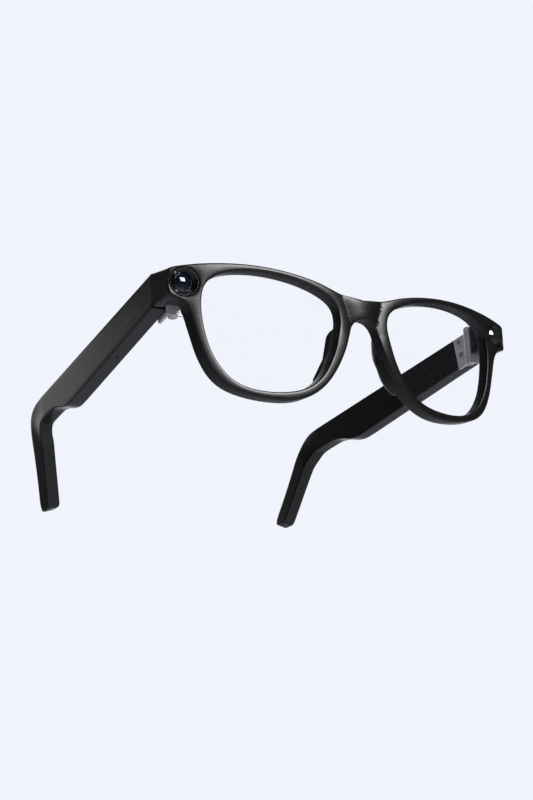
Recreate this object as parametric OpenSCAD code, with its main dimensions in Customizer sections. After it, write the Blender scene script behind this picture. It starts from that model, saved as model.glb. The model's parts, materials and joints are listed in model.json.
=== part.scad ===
// Smart glasses: a wrapped two-layer front with clear lenses, a camera and an
// indicator light in its upper corners, and two folding temples that carry the
// battery, boards, speakers and microphones.
// Millimetres. +Z is up, the front faces -Y, x = 0 is the symmetry plane and
// z = 0 is the surface that the rims and the temple tips rest on.
// "right" is the wearer's right, on the -X side.

/* [Preview] */
// Sub-part to show, or all of them

/* [Front] */
// Width across the endpieces
front_w = 148; // [124:1:178]
// Height of the rims, bottom to top
rim_h = 47; // [38:0.5:57]
// Radius of the wrap, seen from above
wrap_r = 300; // [200:10:500]
// Depth of the whole rim, front face to back face
rim_d = 5; // [4.2:0.1:7]
// Thickness of the rear cover that closes the rim
cover_d = 0.95; // [0.8:0.05:1.2]
// How far the endpieces reach back to the temple joint
end_d = 21; // [19:0.5:26]
// Height of the endpieces
end_h = 11.9; // [9:0.1:14]

/* [Lenses] */
// Lens thickness
lens_t = 1.6; // [1.4:0.1:2]
// How far the lens edge sits inside the groove
lens_bite = 0.7; // [0.5:0.05:0.8]

/* [Camera and light] */
// Outer radius of the camera bezel
bezel_r = 5; // [3.8:0.1:5.2]
// Radius of the camera window
window_r = 3.6; // [2.6:0.1:3.8]
// Outer radius of the light bezel
light_r = 4.3; // [3.4:0.1:4.4]
// Depth of the bore that holds the camera or the light
pocket_d = 6.6; // [6.2:0.1:8]

/* [Temples] */
// Thickness of the temple arm
arm_t = 6; // [5.4:0.1:7.5]
// Height of the arm at the hinge
arm_h = 12.1; // [10.5:0.1:14.5]
// Length of the thick part of the arm, which holds the electronics
arm_l = 76; // [66:1:92]
// Extra height of the arm at the end of its thick part
arm_flare = 2.8; // [2:0.1:4]
// Height of the slim part in front of the ear
slim_h = 9.8; // [8:0.1:11.5]
// Thickness of the ear hook
hook_t = 5.4; // [4.4:0.1:6]
// Drop of the hook below the slim part
hook_l = 29.4; // [22:0.2:36]
// Inward lean of the hook
hook_lean = 15; // [0:1:18]
// Downward slope of the arm against the front
arm_drop = 10.2; // [6:0.2:12.4]
// Inward turn of each open arm
toe_in = 2.3; // [0:0.1:3]

/* [Hinges] */
// Distance from the hinge axis to the arm's inner face
hinge_off = 2; // [1.8:0.1:3]
// Knuckle radius
knuckle_r = 1.6; // [1.4:0.1:1.7]
// Hinge screw radius
pivot_r = 0.8; // [0.6:0.05:0.9]
// Height of the turning knuckle
knuckle_h = 6.4; // [5:0.1:7]
// Leaf thickness
leaf_t = 1; // [0.8:0.1:1.1]

/* [Fits] */
// Running clearance on the hinge screw
run_gap = 0.05; // [0.02:0.01:0.1]
// Clearance round parts that are fixed in place
fix_gap = 0.1; // [0.05:0.05:0.2]
// Gap between endpiece and temple
seam_gap = 0.2; // [0.15:0.05:0.4]
// Wall of the temple shell
wall = 1.2; // [1:0.1:1.5]
// Travel of the capture button
press = 0.35; // [0.2:0.05:0.5]

/* [Hidden] */
// Every sub-part, in build order

eps = 0.01;
draw_w = 148;                     // width the outline points are drawn for
draw_h = 47;                      // rim height they are drawn for
kx = front_w / draw_w;
kz = rim_h / draw_h;

hinge_x = front_w / 2 - arm_t - hinge_off;
hinge_y = end_d;
hinge_z = 38.5 * kz;
end_lo = hinge_z - end_h / 2 + 0.3;
end_hi = end_lo + end_h;
eye_x = front_w / 2 - 5.6;        // camera centre
light_x = front_w / 2 - 5;        // light centre
eye_z = hinge_z + 0.1;
block_in = eye_x - bezel_r + 0.1; // inner side of the endpiece block
block_y = end_d - 3.4;            // back of the block, under the hinge leaf
leaf_z = [-1.8, 1.8];             // front leaf screws, from the hinge centre
side_t = arm_t - hinge_off;       // side wall that meets the temple
face_y = wrap_y(eye_x);
board_x = wall + hinge_off + 0.3; // inner face of the boards in the temple
cav_in = hinge_off + wall;        // cavity between cover and outer wall
cav_out = hinge_off + arm_t - wall + 0.1;

// ---- curves ---------------------------------------------------------------
function wrap_y(x) = wrap_r - sqrt(wrap_r * wrap_r - x * x);
function blend(a, b, c, d, t) =
    0.5 * (2 * b + (c - a) * t + (2 * a - 5 * b + 4 * c - d) * t * t
           + (3 * b - a - 3 * c + d) * t * t * t);
function loop(p, n) =
    [for (i = [0 : len(p) - 1], j = [0 : n - 1]) let (m = len(p))
        blend(p[(i + m - 1) % m], p[i], p[(i + 1) % m], p[(i + 2) % m], j / n)];
function run(p, n) =
    [for (i = [0 : len(p) - 2], j = [0 : n]) if (j < n || i == len(p) - 2)
        blend(p[max(i - 1, 0)], p[i], p[i + 1], p[min(i + 2, len(p) - 1)], j / n)];
function grown(p, d) =
    [for (i = [0 : len(p) - 1])
        let (m = len(p), t = p[(i + 1) % m] - p[(i + m - 1) % m])
        p[i] + d * [t[1], -t[0]] / norm(t)];
function fit(p) = [for (q = p) [q[0] * kx, q[1] * kz]];
function back(p) = [for (i = [len(p) - 1 : -1 : 0]) p[i]];
function flip(p) = [for (q = p) [-q[0], q[1]]];

// ---- outlines of the front, half of it, x >= 0 ----------------------------
top_run = run(fit([[0, 40.1], [9.5, 41.4], [19, 44.1], [29, 46], [40, 47],
                   [51, 46.9], [62, 45.8], [70, 44.3], [73, 43.4]]), 6);
low_run = run(fit([[73.5, 33.5], [71, 32.8], [68.6, 31], [66.9, 28],
                   [65.2, 22.4], [62.5, 14], [58.8, 7.4], [53.6, 3.2],
                   [45.6, 0.8], [36, 0], [28, 0.9], [21.4, 3.8], [16, 8.4],
                   [11.6, 14.6], [8.4, 21], [6.3, 26.6], [4.8, 30.2],
                   [2.6, 32.3], [0, 33]]), 5);
corner = [[front_w / 2, 42.6 * kz], [front_w / 2, 34 * kz]];
half = concat(top_run, corner, low_run);
outline = concat(back(half), flip([for (i = [1 : len(half) - 2]) half[i]]));
opening = loop(fit([[37, 44.6], [26, 43.1], [17, 40.2], [12, 36.7],
                    [10.5, 31.8], [11.6, 25.4], [14, 18], [18.8, 10],
                    [26, 4.9], [36, 2.9], [46, 3.5], [53.2, 6.8],
                    [58.6, 13.6], [61.5, 22], [62.6, 31], [61.2, 38.2],
                    [56, 42.4], [47.4, 44.4]]), 6);

// ---- temple outlines, u along the arm, w up, from the hinge axis ----------
arm_top = arm_h / 2 + 0.15;
arm_low = arm_top - arm_h;
slim_low = arm_top - slim_h;
flare_w = arm_low - arm_flare;
elbow = arm_l + 29;               // where the hook starts to bend down
function step_path() =
    run([[arm_l - 4, flare_w + 0.1], [arm_l + 2, flare_w + 0.2],
         [arm_l + 7, flare_w + 1.4], [arm_l + 12, slim_low - 1.6],
         [arm_l + 17, slim_low - 0.3], [arm_l + 21, slim_low]], 4);
function arm_path() =
    concat([[-3, arm_top], [-3, arm_low + 0.1]], step_path(),
           [[arm_l + 21, arm_top]]);
function hook_path() = let (d = hook_l / 28.5)
    [[elbow - 1, arm_top], [elbow + 6, arm_top - 0.6],
     [elbow + 11.6, arm_top - 3.2], [elbow + 15.8, arm_top - 8.4],
     [elbow + 19.7, slim_low - 8 * d], [elbow + 24.1, slim_low - 17 * d],
     [elbow + 28.1, slim_low - 25 * d], [elbow + 27.2, slim_low - hook_l],
     [elbow + 23.4, slim_low - hook_l - 0.3],
     [elbow + 20.1, slim_low - 26.6 * d], [elbow + 16.6, slim_low - 20 * d],
     [elbow + 12.4, slim_low - 12.4 * d], [elbow + 8.8, slim_low - 6 * d],
     [elbow + 4.7, slim_low - 1.7], [elbow - 1, slim_low]];
function bay() =
    [[12, arm_top - wall], [12, arm_low + wall - 0.5],
     [arm_l - 2, flare_w + wall + 0.3], [arm_l + 8, flare_w + wall + 3],
     [arm_l + 12, slim_low + wall - 0.2], [arm_l + 12, arm_top - wall]];
function lid() =
    [[9, arm_top - 0.9], [9, arm_low + 0.4],
     [arm_l - 2, flare_w + 1], [arm_l + 9, flare_w + 3.4],
     [arm_l + 16, slim_low + 0.7], [arm_l + 16, arm_top - 0.9]];

// ---- how it rests: rim bottoms and temple tips on z = 0 ----------------------
tip = hook_path()[7];
tip_y = hinge_y + tip[0] * cos(arm_drop) + tip[1] * sin(arm_drop);
tip_z = hinge_z - tip[0] * sin(arm_drop) + tip[1] * cos(arm_drop);
rest_tilt = atan(-tip_z / (tip_y - 2.2));
depth_mid = 71.27;                // middle of the depth, for the origin
lift = -2.2 * sin(rest_tilt);

// ---- helpers --------------------------------------------------------------
module xz(y0, y1) translate([0, y1, 0]) rotate([90, 0, 0])
    linear_extrude(y1 - y0) children();
module yz(x0, x1) translate([x0, 0, 0]) rotate([90, 0, 90])
    linear_extrude(x1 - x0) children();
module box(a, b) translate(a) cube(b - a);
module rod(a, r, h, n = 40) translate(a) rotate([-90, 0, 0])
    cylinder(r = r, h = h, $fn = n);
module right() mirror([1, 0, 0]) children();
module rest() translate([0, -depth_mid, lift]) rotate([rest_tilt, 0, 0])
    children();
module hinge_at() translate([hinge_x, hinge_y, hinge_z]) children();
module arm_at() hinge_at() rotate([0, 0, toe_in]) rotate([-arm_drop, 0, 0])
    children();
module wrap(r) translate([0, wrap_r, -20]) cylinder(r = r, h = 120, $fn = 240);
module band(d0, d1) difference() { wrap(wrap_r - d0); wrap(wrap_r - d1); }
module openings(d) for (m = [0, 1]) mirror([m, 0, 0]) polygon(grown(opening, d));

// ---- front ----------------------------------------------------------------
module block() intersection() {
    wrap(wrap_r);
    union() {
        difference() {
            intersection() {
                xz(0, block_y) polygon(outline);
                box([block_in, 0, end_lo - 3], [front_w / 2, block_y, end_hi + 9]);
            }
            box([block_in - 1, face_y + rim_d, 0],
                [front_w / 2 + 1, end_d + 1, end_lo]);
            box([block_in - 1, face_y + rim_d, end_hi],
                [front_w / 2 + 1, end_d + 1, rim_h + 9]);
        }
        yz(front_w / 2 - side_t, front_w / 2)
            polygon([[face_y, end_lo + 1], [face_y, end_hi - 1.6],
                     [end_d, end_hi], [end_d, end_lo]]);
    }
}
module eye_bore(x, r, seat_r) {
    rod([x, 0, eye_z], r, face_y + 3);
    rod([x, 0, eye_z], seat_r, face_y + pocket_d);
}
module leaf_holes(r) for (z = leaf_z)
    rod([block_in + 2, block_y - 2.6, hinge_z + z], r, 6, 24);
module flex_line(lo, hi) let (p = [for (q = top_run) if (q[0] < block_in) q])
    polygon(concat([for (q = p) q - [0, lo]], back([for (q = p) q - [0, hi]])));

module front_shell() color("#17181a") rest() difference() {
    union() {
        intersection() {
            xz(-1, end_d) difference() { polygon(outline); openings(0); }
            band(0, rim_d - cover_d);
        }
        for (m = [0, 1]) mirror([m, 0, 0]) block();
    }
    intersection() {
        xz(-1, end_d) openings(lens_bite + fix_gap);
        band(1, lens_t + 1.2);
    }
    intersection() {
        xz(-1, end_d) for (m = [0, 1]) mirror([m, 0, 0]) flex_line(0.5, 1.9);
        band(rim_d - cover_d - 0.5, rim_d - cover_d + 0.02);
    }
    right() eye_bore(eye_x, bezel_r, window_r + 0.2);
    eye_bore(light_x, light_r, window_r - 0.2);
    for (m = [0, 1]) mirror([m, 0, 0]) leaf_holes(0.5 + run_gap);
}
module rear_cover() color("#1b1c1e") rest() intersection() {
    xz(-1, end_d) difference() { polygon(outline); openings(0); }
    band(rim_d - cover_d + 0.02, rim_d);
    difference() {
        box([-front_w, -1, -5], [front_w, end_d, 60 * kz]);
        for (m = [0, 1]) mirror([m, 0, 0])
            box([block_in - fix_gap, -2, end_lo - 3 - fix_gap],
                [front_w + 1, end_d + 1, 61 * kz]);
    }
}
module lens() intersection() {
    xz(-1, end_d) polygon(grown(opening, lens_bite));
    band(1.1, lens_t + 1.1);
}
module lens_right() color("#dfe6ea", 0.3) rest() right() lens();
module lens_left() color("#dfe6ea", 0.3) rest() lens();

module nose_pad() intersection() {
    translate([9 * kx, 3, 0]) rotate([0, 0, -30]) translate([-9 * kx, 0, 0])
        xz(0, 12) polygon(loop(fit([[9.6, 29.4], [7.6, 27], [7, 22.8], [8, 18],
                                    [10.6, 13], [14.6, 9], [16.2, 9.8],
                                    [14.8, 13.6], [12.6, 18], [11.4, 23],
                                    [11.2, 27.6]]), 4));
    translate([0, 0, -20]) difference() {
        translate([0, wrap_r, 0]) cylinder(r = wrap_r - rim_d - 0.05, h = 120,
                                           $fn = 240);
        translate([0, wrap_r + rim_d + 5.4, -1]) cylinder(r = wrap_r - rim_d,
                                                          h = 130, $fn = 240);
    }
}
module nose_pad_right() color("#1d1e20") rest() right() nose_pad();
module nose_pad_left() color("#1d1e20") rest() nose_pad();

// ---- camera and light -----------------------------------------------------
module bezel(x, r, seat_r) intersection() {
    wrap(wrap_r - 0.25);
    difference() {
        rod([x, face_y - 1.8, eye_z], r - fix_gap, 4.3, 72);
        rod([x, 0, eye_z], seat_r + fix_gap, face_y + 4, 72);
        translate([x, face_y - 1.8 - eps, eye_z]) rotate([-90, 0, 0])
            cylinder(r1 = r - 0.4, r2 = seat_r, h = 3.3, $fn = 72);
    }
}
module camera_bezel() color("#0c0d0f") rest() right()
    bezel(eye_x, bezel_r, window_r);
module light_bezel() color("#0c0d0f") rest()
    bezel(light_x, light_r, window_r - 0.6);
// Domed disc: a cap of a sphere over a short cylinder, facing -Y.
module dome(x, r, h, edge) translate([x, face_y + 1.1, eye_z]) rotate([90, 0, 0])
    intersection() {
        translate([0, 0, -edge]) cylinder(r = r, h = edge + h, $fn = 72);
        let (s = (r * r + h * h) / (2 * h)) translate([0, 0, h - s])
            sphere(r = s, $fn = 96);
    }
module camera_window() color("#0a1020") rest() right()
    dome(eye_x, window_r, 1, 0.8);
module light_window() color("#2a2c30") rest()
    dome(light_x, window_r - 0.6, 0.6, 0.8);
module camera_barrel() color("#101113") rest() right() difference() {
    rod([eye_x, face_y + 2.1, eye_z], window_r - 0.1, 2.9, 60);
    rod([eye_x, face_y + 2, eye_z], 1.4, 2.6, 40);
}
module camera_board() color("#1f5a3a") rest() right() {
    rod([eye_x, face_y + 5.5, eye_z], window_r - 0.2, 0.8, 60);
    box([eye_x - 1.3, face_y + 5.1, eye_z - 1.3],
        [eye_x + 1.3, face_y + 5.5, eye_z + 1.3]);
}
module light_board() color("#1f5a3a") rest() {
    rod([light_x, face_y + 3.2, eye_z], window_r - 0.7, 0.8, 60);
    box([light_x - 1, face_y + 2.3, eye_z - 1],
        [light_x + 1, face_y + 3.2, eye_z + 1]);
}
module brow_flex() color("#b5702a") rest() intersection() {
    xz(-1, end_d) for (m = [0, 1]) mirror([m, 0, 0]) flex_line(0.65, 1.75);
    band(rim_d - cover_d - 0.35, rim_d - cover_d - 0.1);
    box([-block_in + 0.4, -1, 0], [block_in - 0.4, end_d, 60 * kz]);
}

// ---- hinges ---------------------------------------------------------------
knuckle_z = -knuckle_h / 2;       // bottom of the turning knuckle
leaf_lo = end_lo - hinge_z - 3;   // the fixed leaf hangs below the endpiece
leaf_hi = end_hi - hinge_z - 0.4;
module barrel(z0, z1) translate([0, 0, z0])
    cylinder(r = knuckle_r, h = z1 - z0, $fn = 48);
module leaf_front() hinge_at() difference() {
    union() {
        for (z = [[leaf_lo, knuckle_z - run_gap * 2],
                  [knuckle_z + knuckle_h + run_gap * 2, leaf_hi]]) {
            barrel(z[0], z[1]);
            box([-1.1, block_y - end_d + 0.05, z[0]], [1.1, 0, z[1]]);
        }
        box([block_in + 0.3 - hinge_x, block_y - end_d + 0.05, leaf_lo],
            [front_w / 2 - side_t - 0.2 - hinge_x,
             block_y - end_d + 0.05 + leaf_t, leaf_hi]);
    }
    translate([0, 0, leaf_lo - 1])
        cylinder(r = pivot_r + run_gap / 2, h = 30, $fn = 40);
    for (z = leaf_z)
        rod([block_in + 2 - hinge_x, block_y - end_d - 1, z],
            0.5 + run_gap, 4, 24);
}
module hinge_leaf_front_right() color("#b9bcc0") rest() right() leaf_front();
module hinge_leaf_front_left() color("#b9bcc0") rest() leaf_front();
module hinge_screw() hinge_at() {
    translate([0, 0, leaf_lo + 0.2])
        cylinder(r = pivot_r, h = leaf_hi - leaf_lo - 0.2, $fn = 40);
    difference() {
        translate([0, 0, leaf_hi + 0.02])
            cylinder(r = 1.35, h = 0.5, $fn = 40);
        box([-2, -0.2, leaf_hi + 0.3], [2, 0.2, leaf_hi + 1]);
    }
    translate([0, 0, leaf_hi - 0.1]) cylinder(r = pivot_r, h = 0.2, $fn = 40);
}
module hinge_screw_right() color("#c9ccd0") rest() right() hinge_screw();
module hinge_screw_left() color("#c9ccd0") rest() hinge_screw();
module small_screw(len) difference() {
    union() {
        cylinder(r = 0.5, h = len, $fn = 24);
        translate([0, 0, len]) cylinder(r = 0.9, h = 0.4, $fn = 32);
    }
    box([-0.12, -1, len + 0.2], [0.12, 1, len + 1]);
}
module front_leaf_screws() color("#c9ccd0") rest()
    for (m = [0, 1], z = leaf_z) mirror([m, 0, 0])
        translate([block_in + 2, block_y - 2.4, hinge_z + z])
            rotate([-90, 0, 0]) small_screw(2.4 + leaf_t + 0.07);

module temple_leaf() difference() {
    union() {
        hinge_at() barrel(knuckle_z, knuckle_z + knuckle_h);
        arm_at() {
            box([hinge_off - 0.05 - leaf_t, 0, knuckle_z + 0.6],
                [hinge_off - 0.05, 3, knuckle_z + knuckle_h - 0.6]);
            box([hinge_off - 0.05 - leaf_t, 2.6, arm_low - 1.4],
                [hinge_off - 0.05, 8.6, arm_top - 1]);
        }
    }
    hinge_at() translate([0, 0, -20])
        cylinder(r = pivot_r + run_gap, h = 40, $fn = 40);
    arm_at() for (w = [-2.2, 3]) side_bore([5.6, w], 0.5 + run_gap, 3);
}
// A bore or rod across the arm, at [u, w], from the inner side.
module side_bore(p, r, x1, x0 = 0) translate([x0, p[0], p[1]])
    rotate([0, 90, 0]) cylinder(r = r, h = x1 - x0, $fn = 24);
module temple_leaf_right() color("#b9bcc0") rest() right() temple_leaf();
module temple_leaf_left() color("#b9bcc0") rest() temple_leaf();

// ---- temples --------------------------------------------------------------
leaf_screws = [[5.6, -2.2], [5.6, 3]];
mic_u = 37;
charge_w = [-3, 1.4];             // heights of the two charge contacts
module hook() translate([hinge_off + arm_t / 2, 0, arm_top - 4.2])
    rotate([0, hook_lean, 0]) translate([-hinge_off - arm_t / 2, 0, 4.2 - arm_top])
        children();
module slice(u, t) translate([hinge_off + (arm_t - t) / 2, u, slim_low])
    cube([t, 0.5, slim_h]);
module temple_body() difference() {
    arm_at() {
        yz(hinge_off, hinge_off + arm_t) polygon(arm_path());
        hull() { slice(arm_l + 20.4, arm_t); hook() slice(elbow - 1, hook_t); }
        hook() yz(hinge_off + (arm_t - hook_t) / 2,
                  hinge_off + (arm_t + hook_t) / 2)
            polygon(run(concat(hook_path(), [hook_path()[0]]), 5));
    }
    box([hinge_x - 5, end_d - 20, 0],
        [hinge_x + arm_t + 9, end_d + seam_gap, 99 * kz]);
}
module temple_shell() difference() {
    temple_body();
    arm_at() {
        yz(cav_in - eps, cav_out) polygon(bay());
        yz(hinge_off - 1, cav_in) polygon(grown(lid(), fix_gap));
        speaker_slots(arm_top - wall - 1);
        for (p = leaf_screws) side_bore(p, 0.5 + run_gap, hinge_off + 3);
        translate([hinge_off + arm_t / 2, mic_u, flare_w - 2])
            cylinder(r = 0.5, h = 6, $fn = 24);
    }
}
module temple_cover() arm_at()
    yz(hinge_off + 0.02, cav_in) polygon(lid());
module temple_screws() arm_at() for (p = leaf_screws)
    translate([hinge_off + 2.4, p[0], p[1]])
        rotate([0, -90, 0]) small_screw(2.4 + leaf_t + 0.08);
module speaker_slots(w) for (i = [0 : 2])
    box([cav_in + 0.8, arm_l - 2 + 2.4 * i, w],
        [cav_out - 0.8, arm_l - 1 + 2.4 * i, arm_top + 1]);
module speaker() arm_at() difference() {
    box([cav_in + 0.3, arm_l - 4, flare_w + wall + 3.2],
        [cav_out - 0.3, arm_l + 7, arm_top - wall - 0.5]);
    box([cav_in + 0.8, arm_l - 2.5, arm_top - wall - 1.7],
        [cav_out - 0.8, arm_l + 5.5, arm_top]);
}
module speaker_mesh() arm_at()
    box([cav_in + 0.35, arm_l - 3, arm_top - wall - 0.4],
        [cav_out - 0.35, arm_l + 5, arm_top - wall - 0.1]);
module microphone() arm_at() difference() {
    box([hinge_off + arm_t / 2 - 1.3, mic_u - 1.8, arm_low + wall - 1.1],
        [hinge_off + arm_t / 2 + 1.3, mic_u + 1.8, arm_low + wall]);
    translate([hinge_off + arm_t / 2, mic_u, -9])
        cylinder(r = 0.4, h = 4.9, $fn = 24);
}

module temple_shell_right() color("#17181a") rest() right() difference() {
    temple_shell();
    arm_at() {
        box([hinge_off + arm_t - 0.45, 11.9, -1.65],
            [hinge_off + arm_t + 1, 48.1, -1.05]);
        box([hinge_off + 1.55, 23.85, arm_top - wall - 0.1],
            [hinge_off + 4.45, 32.15, arm_top + 3]);
    }
}
module temple_cover_right() color("#1b1c1e") rest() right() difference() {
    temple_cover();
    arm_at() for (w = charge_w) side_bore([56, w], 0.9 + run_gap, cav_in + 1);
}
module temple_screws_right() color("#c9ccd0") rest() right() temple_screws();
module speaker_right() color("#2b2d30") rest() right() speaker();
module speaker_mesh_right() color("#3a3c40") rest() right() speaker_mesh();
module microphone_right() color("#c3b37a") rest() right() microphone();
module main_board() color("#1f5a3a") rest() right() arm_at()
    box([board_x, 13, -3.2], [board_x + 0.6, 50, 1.7]);
module processor_shield() color("#a9adb2") rest() right() arm_at()
    box([board_x + 0.65, 18, -2.9], [board_x + 1.9, 31, 1.5]);
module radio_module() color("#a9adb2") rest() right() arm_at()
    box([board_x + 0.65, 40, -2.9], [board_x + 1.7, 48, 1.5]);
module power_board() color("#1f5a3a") rest() right() arm_at()
    box([cav_in + 0.6, 50.5, -4.4], [cav_in + 1.2, 64, 3.8]);
module charge_contacts() color("#c8a24a") rest() right() arm_at()
    for (w = charge_w) side_bore([56, w], 0.9, cav_in + 0.55, hinge_off + 0.02);
module charge_magnets() color("#8f9398") rest() right() arm_at()
    for (w = [-3.8, 1.2]) box([cav_in + 1.3, 52, w], [cav_out - 0.3, 62, w + 2.6]);
module touch_strip() color("#6d7075") rest() right() arm_at()
    box([hinge_off + arm_t - 0.4, 12, -1.6], [hinge_off + arm_t, 48, -1.1]);
module touch_sensor() color("#b5702a") rest() right() arm_at()
    box([cav_out - 0.25, 13, -3.4], [cav_out - 0.05, 50, 1.7]);
module capture_button() color("#202124") rest() right() arm_at() {
    box([hinge_off + 1.7, 24, arm_top - wall - 0.4],
        [hinge_off + 4.3, 32, arm_top + 0.5]);
    box([hinge_off + 1.4, 23.6, arm_top - wall - 0.9],
        [hinge_off + 4.6, 32.4, arm_top - wall - 0.1]);
}
module button_switch() color("#c3b37a") rest() right() arm_at()
    box([hinge_off + 1.6, 26, 1.8], [hinge_off + 4.4, 30,
                                     arm_top - wall - 1 - press]);

module temple_shell_left() color("#17181a") rest() temple_shell();
module temple_cover_left() color("#1b1c1e") rest() temple_cover();
module temple_screws_left() color("#c9ccd0") rest() temple_screws();
module speaker_left() color("#2b2d30") rest() speaker();
module speaker_mesh_left() color("#3a3c40") rest() speaker_mesh();
module microphone_left() color("#c3b37a") rest() microphone();
module battery_front() color("#2f5f9a") rest() arm_at()
    box([board_x, 13.4, -3.2], [cav_out - 0.3, 41, 4.1]);
module battery_rear() color("#2f5f9a") rest() arm_at()
    box([board_x, 42, -4.4], [cav_out - 0.3, arm_l - 5, 4.1]);

front_shell();
rear_cover();
lens_right();
lens_left();
nose_pad_right();
nose_pad_left();
camera_bezel();
camera_window();
camera_barrel();
camera_board();
light_bezel();
light_window();
light_board();
brow_flex();
hinge_leaf_front_right();
hinge_leaf_front_left();
hinge_screw_right();
hinge_screw_left();
front_leaf_screws();
temple_shell_right();
temple_cover_right();
temple_leaf_right();
temple_screws_right();
main_board();
processor_shield();
radio_module();
power_board();
charge_contacts();
charge_magnets();
speaker_right();
speaker_mesh_right();
microphone_right();
touch_strip();
touch_sensor();
capture_button();
button_switch();
temple_shell_left();
temple_cover_left();
temple_leaf_left();
temple_screws_left();
battery_front();
battery_rear();
speaker_left();
speaker_mesh_left();
microphone_left();
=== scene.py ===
"""Looks of the smart glasses: a camera in one upper corner, a light in the other, two folding temples.

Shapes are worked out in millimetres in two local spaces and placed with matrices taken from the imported
record: the front's own space (x across, y back, z up from the rim bottoms) and the temple's own space
(x outwards from the hinge axis, y along the arm, z up across it).
"""

import json
import logging
import math
from dataclasses import dataclass, field, replace
from enum import Enum

import bmesh
import bpy
import numpy as np
from mathutils import Matrix, Vector
from mathutils.geometry import delaunay_2d_cdt


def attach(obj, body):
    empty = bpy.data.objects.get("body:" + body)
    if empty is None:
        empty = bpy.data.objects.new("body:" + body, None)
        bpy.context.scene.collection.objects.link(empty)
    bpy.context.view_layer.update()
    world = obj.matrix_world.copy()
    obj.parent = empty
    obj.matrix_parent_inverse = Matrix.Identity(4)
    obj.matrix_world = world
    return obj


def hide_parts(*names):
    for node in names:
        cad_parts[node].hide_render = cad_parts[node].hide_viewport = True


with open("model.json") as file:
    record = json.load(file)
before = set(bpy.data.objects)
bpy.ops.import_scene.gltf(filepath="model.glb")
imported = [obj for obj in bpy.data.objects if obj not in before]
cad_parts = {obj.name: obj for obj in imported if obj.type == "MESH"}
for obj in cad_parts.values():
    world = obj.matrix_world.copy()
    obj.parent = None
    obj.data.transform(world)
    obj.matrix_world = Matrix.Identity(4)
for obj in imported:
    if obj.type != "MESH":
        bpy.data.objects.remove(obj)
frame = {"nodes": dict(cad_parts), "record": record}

logging.basicConfig(level=logging.INFO, format="%(message)s")
LOG = logging.getLogger("glasses")
MM = 0.001
Points = list[tuple[float, float]]
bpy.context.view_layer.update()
HINGE = (66.0, 21.0, 38.5)  # middle of the left hinge axis, in the front's own space
LEAF_FACE = 1.08  # how far the leaf's screw heads stand inside the arm's inner face
LEAF_SCREWS_AT = 5.6
LEAF_SCREW_HEIGHTS = (-2.2, 3.0)


# ---- finishes ----------------------------------------------------------------
NOISE_SPAN = (0.3, 0.7)  # the part of a noise value that is spread over the whole colour range
BROAD_SHARE = 0.12  # scale of the colour noise against the roughness noise
BUMP_DEPTH = 0.0002
CELLS = {"board": 520.0, "cell": 160.0}  # cells per metre


class Grain(Enum):
    """How a finish's colour and roughness vary over the surface."""

    MOULDED = "moulded"
    BRUSHED = "brushed"
    BOARD = "board"
    CELL = "cell"


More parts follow.
